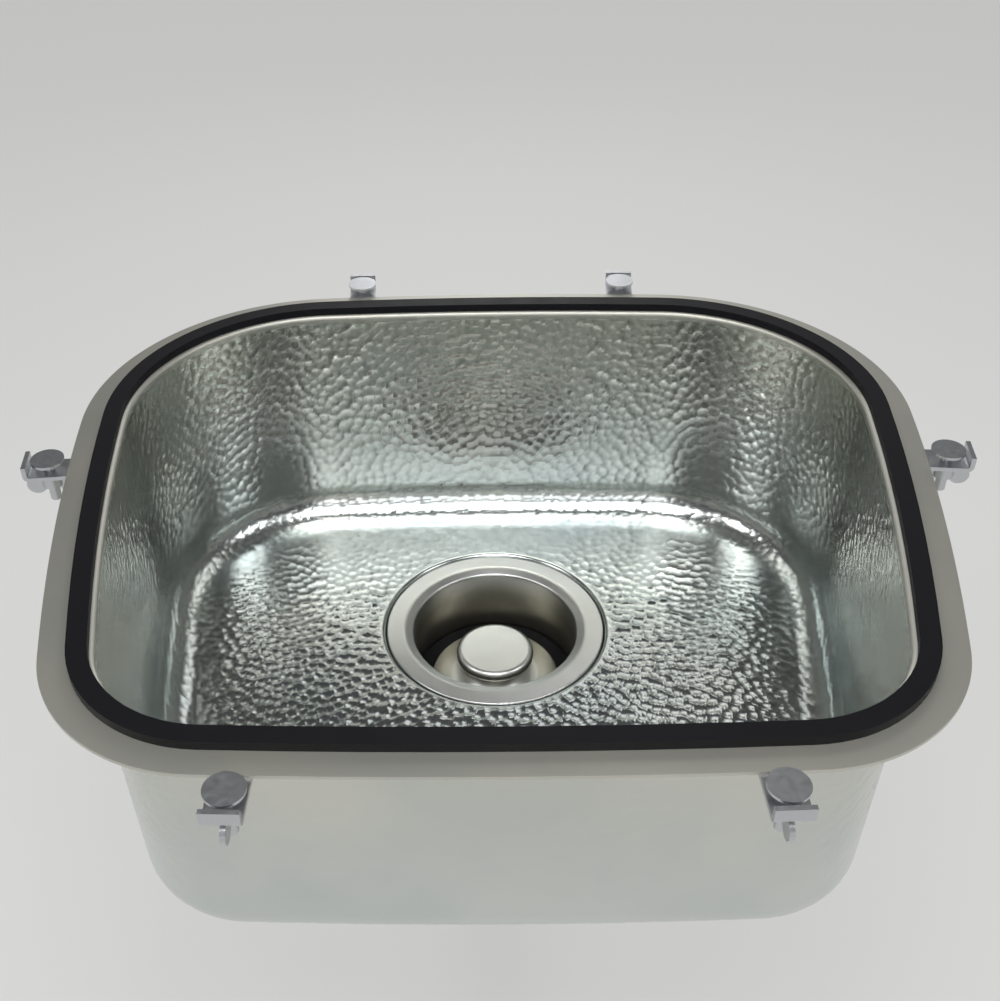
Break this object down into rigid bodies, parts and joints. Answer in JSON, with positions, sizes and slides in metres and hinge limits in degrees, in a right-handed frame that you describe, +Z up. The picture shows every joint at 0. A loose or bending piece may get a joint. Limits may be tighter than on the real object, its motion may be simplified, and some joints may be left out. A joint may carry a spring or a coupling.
{
  "type": "undermount prep sink",
  "caption": "Undermount prep sink: a hammered D-shaped metal bowl with a rear-set flanged drain, a lift-out knobbed stopper, a tailpiece and swing-in mounting clips.",
  "frame": {"origin": "centre of the counter cut-out, on the plane where the rim seal meets the counter's underside", "axes": "+X right, +Y towards the back, +Z up out of the bowl"},
  "size_m": [0.428, 0.3808, 0.3102],
  "materials": {
    "hammered_steel": "hammered, satin, cool silver",
    "brushed_nickel": "finely brushed satin nickel",
    "bright_nickel": "smooth bright plated",
    "black_rubber": "matt black rubber",
    "grey_putty": "soft grey sealing ring",
    "fibre": "brown fibre",
    "raw_brass": "cast, dull",
    "white_plastic": "smooth white plastic",
    "zinc_steel": "zinc plated"
  },
  "bodies": {
    "sink": {"bowl": "hammered_steel", "rim_seal": "black_rubber", "drain_body": "brushed_nickel", "drain_seal": "grey_putty", "gasket": "black_rubber", "friction_ring": "fibre", "tail_washer": "white_plastic", "tailpiece": "bright_nickel", "anchor_stud_front_left": "zinc_steel", "clip_washer_front_left": "zinc_steel", "anchor_stud_front_right": "zinc_steel", "clip_washer_front_right": "zinc_steel", "anchor_stud_back_left": "zinc_steel", "clip_washer_back_left": "zinc_steel", "anchor_stud_back_right": "zinc_steel", "clip_washer_back_right": "zinc_steel", "anchor_stud_left": "zinc_steel", "clip_washer_left": "zinc_steel", "anchor_stud_right": "zinc_steel", "clip_washer_right": "zinc_steel"},
    "stopper": {"stopper_seal": "black_rubber", "stopper_plate": "brushed_nickel", "stopper_backing": "bright_nickel", "stopper_knob": "brushed_nickel", "stopper_screw": "bright_nickel"},
    "lock_nut": {"lock_nut": "raw_brass"},
    "coupling_nut": {"coupling_nut": "bright_nickel"},
    "clip_front_left": {"clip_front_left": "zinc_steel"},
    "wing_nut_front_left": {"wing_nut_front_left": "zinc_steel"},
    "clip_front_right": {"clip_front_right": "zinc_steel"},
    "wing_nut_front_right": {"wing_nut_front_right": "zinc_steel"},
    "clip_back_left": {"clip_back_left": "zinc_steel"},
    "wing_nut_back_left": {"wing_nut_back_left": "zinc_steel"},
    "clip_back_right": {"clip_back_right": "zinc_steel"},
    "wing_nut_back_right": {"wing_nut_back_right": "zinc_steel"},
    "clip_left": {"clip_left": "zinc_steel"},
    "wing_nut_left": {"wing_nut_left": "zinc_steel"},
    "clip_right": {"clip_right": "zinc_steel"},
    "wing_nut_right": {"wing_nut_right": "zinc_steel"}
  },
  "joints": [
    {"name": "stopper_lift", "type": "slide", "parent": "sink", "child": "stopper", "axis": [0, 0, 1], "range_m": [0, 0.18]},
    {"name": "lock_nut_turn", "type": "hinge", "parent": "sink", "child": "lock_nut", "pos_m": [0, 0.042, -0.145], "axis": [0, 0, 1], "continuous": true},
    {"name": "coupling_nut_turn", "type": "hinge", "parent": "sink", "child": "coupling_nut", "pos_m": [0, 0.042, -0.205], "axis": [0, 0, 1], "continuous": true},
    {"name": "clip_front_left_swing", "type": "hinge", "parent": "sink", "child": "clip_front_left", "pos_m": [-0.09294, -0.17885, -0.0065], "axis": [0, 0, 1], "range_deg": [-90, 90]},
    {"name": "wing_nut_front_left_turn", "type": "hinge", "parent": "sink", "child": "wing_nut_front_left", "pos_m": [-0.09294, -0.17885, -0.0115], "axis": [0, 0, 1], "continuous": true},
    {"name": "clip_front_right_swing", "type": "hinge", "parent": "sink", "child": "clip_front_right", "pos_m": [0.09294, -0.17885, -0.0065], "axis": [0, 0, 1], "range_deg": [-90, 90]},
    {"name": "wing_nut_front_right_turn", "type": "hinge", "parent": "sink", "child": "wing_nut_front_right", "pos_m": [0.09294, -0.17885, -0.0115], "axis": [0, 0, 1], "continuous": true},
    {"name": "clip_back_left_swing", "type": "hinge", "parent": "sink", "child": "clip_back_left", "pos_m": [-0.07119, 0.17888, -0.0065], "axis": [0, 0, 1], "range_deg": [-90, 90]},
    {"name": "wing_nut_back_left_turn", "type": "hinge", "parent": "sink", "child": "wing_nut_back_left", "pos_m": [-0.07119, 0.17888, -0.0115], "axis": [0, 0, 1], "continuous": true},
    {"name": "clip_back_right_swing", "type": "hinge", "parent": "sink", "child": "clip_back_right", "pos_m": [0.07119, 0.17888, -0.0065], "axis": [0, 0, 1], "range_deg": [-90, 90]},
    {"name": "wing_nut_back_right_turn", "type": "hinge", "parent": "sink", "child": "wing_nut_back_right", "pos_m": [0.07119, 0.17888, -0.0115], "axis": [0, 0, 1], "continuous": true},
    {"name": "clip_left_swing", "type": "hinge", "parent": "sink", "child": "clip_left", "pos_m": [-0.20244, 0.01219, -0.0065], "axis": [0, 0, 1], "range_deg": [-90, 90]},
    {"name": "wing_nut_left_turn", "type": "hinge", "parent": "sink", "child": "wing_nut_left", "pos_m": [-0.20244, 0.01219, -0.0115], "axis": [0, 0, 1], "continuous": true},
    {"name": "clip_right_swing", "type": "hinge", "parent": "sink", "child": "clip_right", "pos_m": [0.20244, 0.01219, -0.0065], "axis": [0, 0, 1], "range_deg": [-90, 90]},
    {"name": "wing_nut_right_turn", "type": "hinge", "parent": "sink", "child": "wing_nut_right", "pos_m": [0.20244, 0.01219, -0.0115], "axis": [0, 0, 1], "continuous": true}
  ]
}
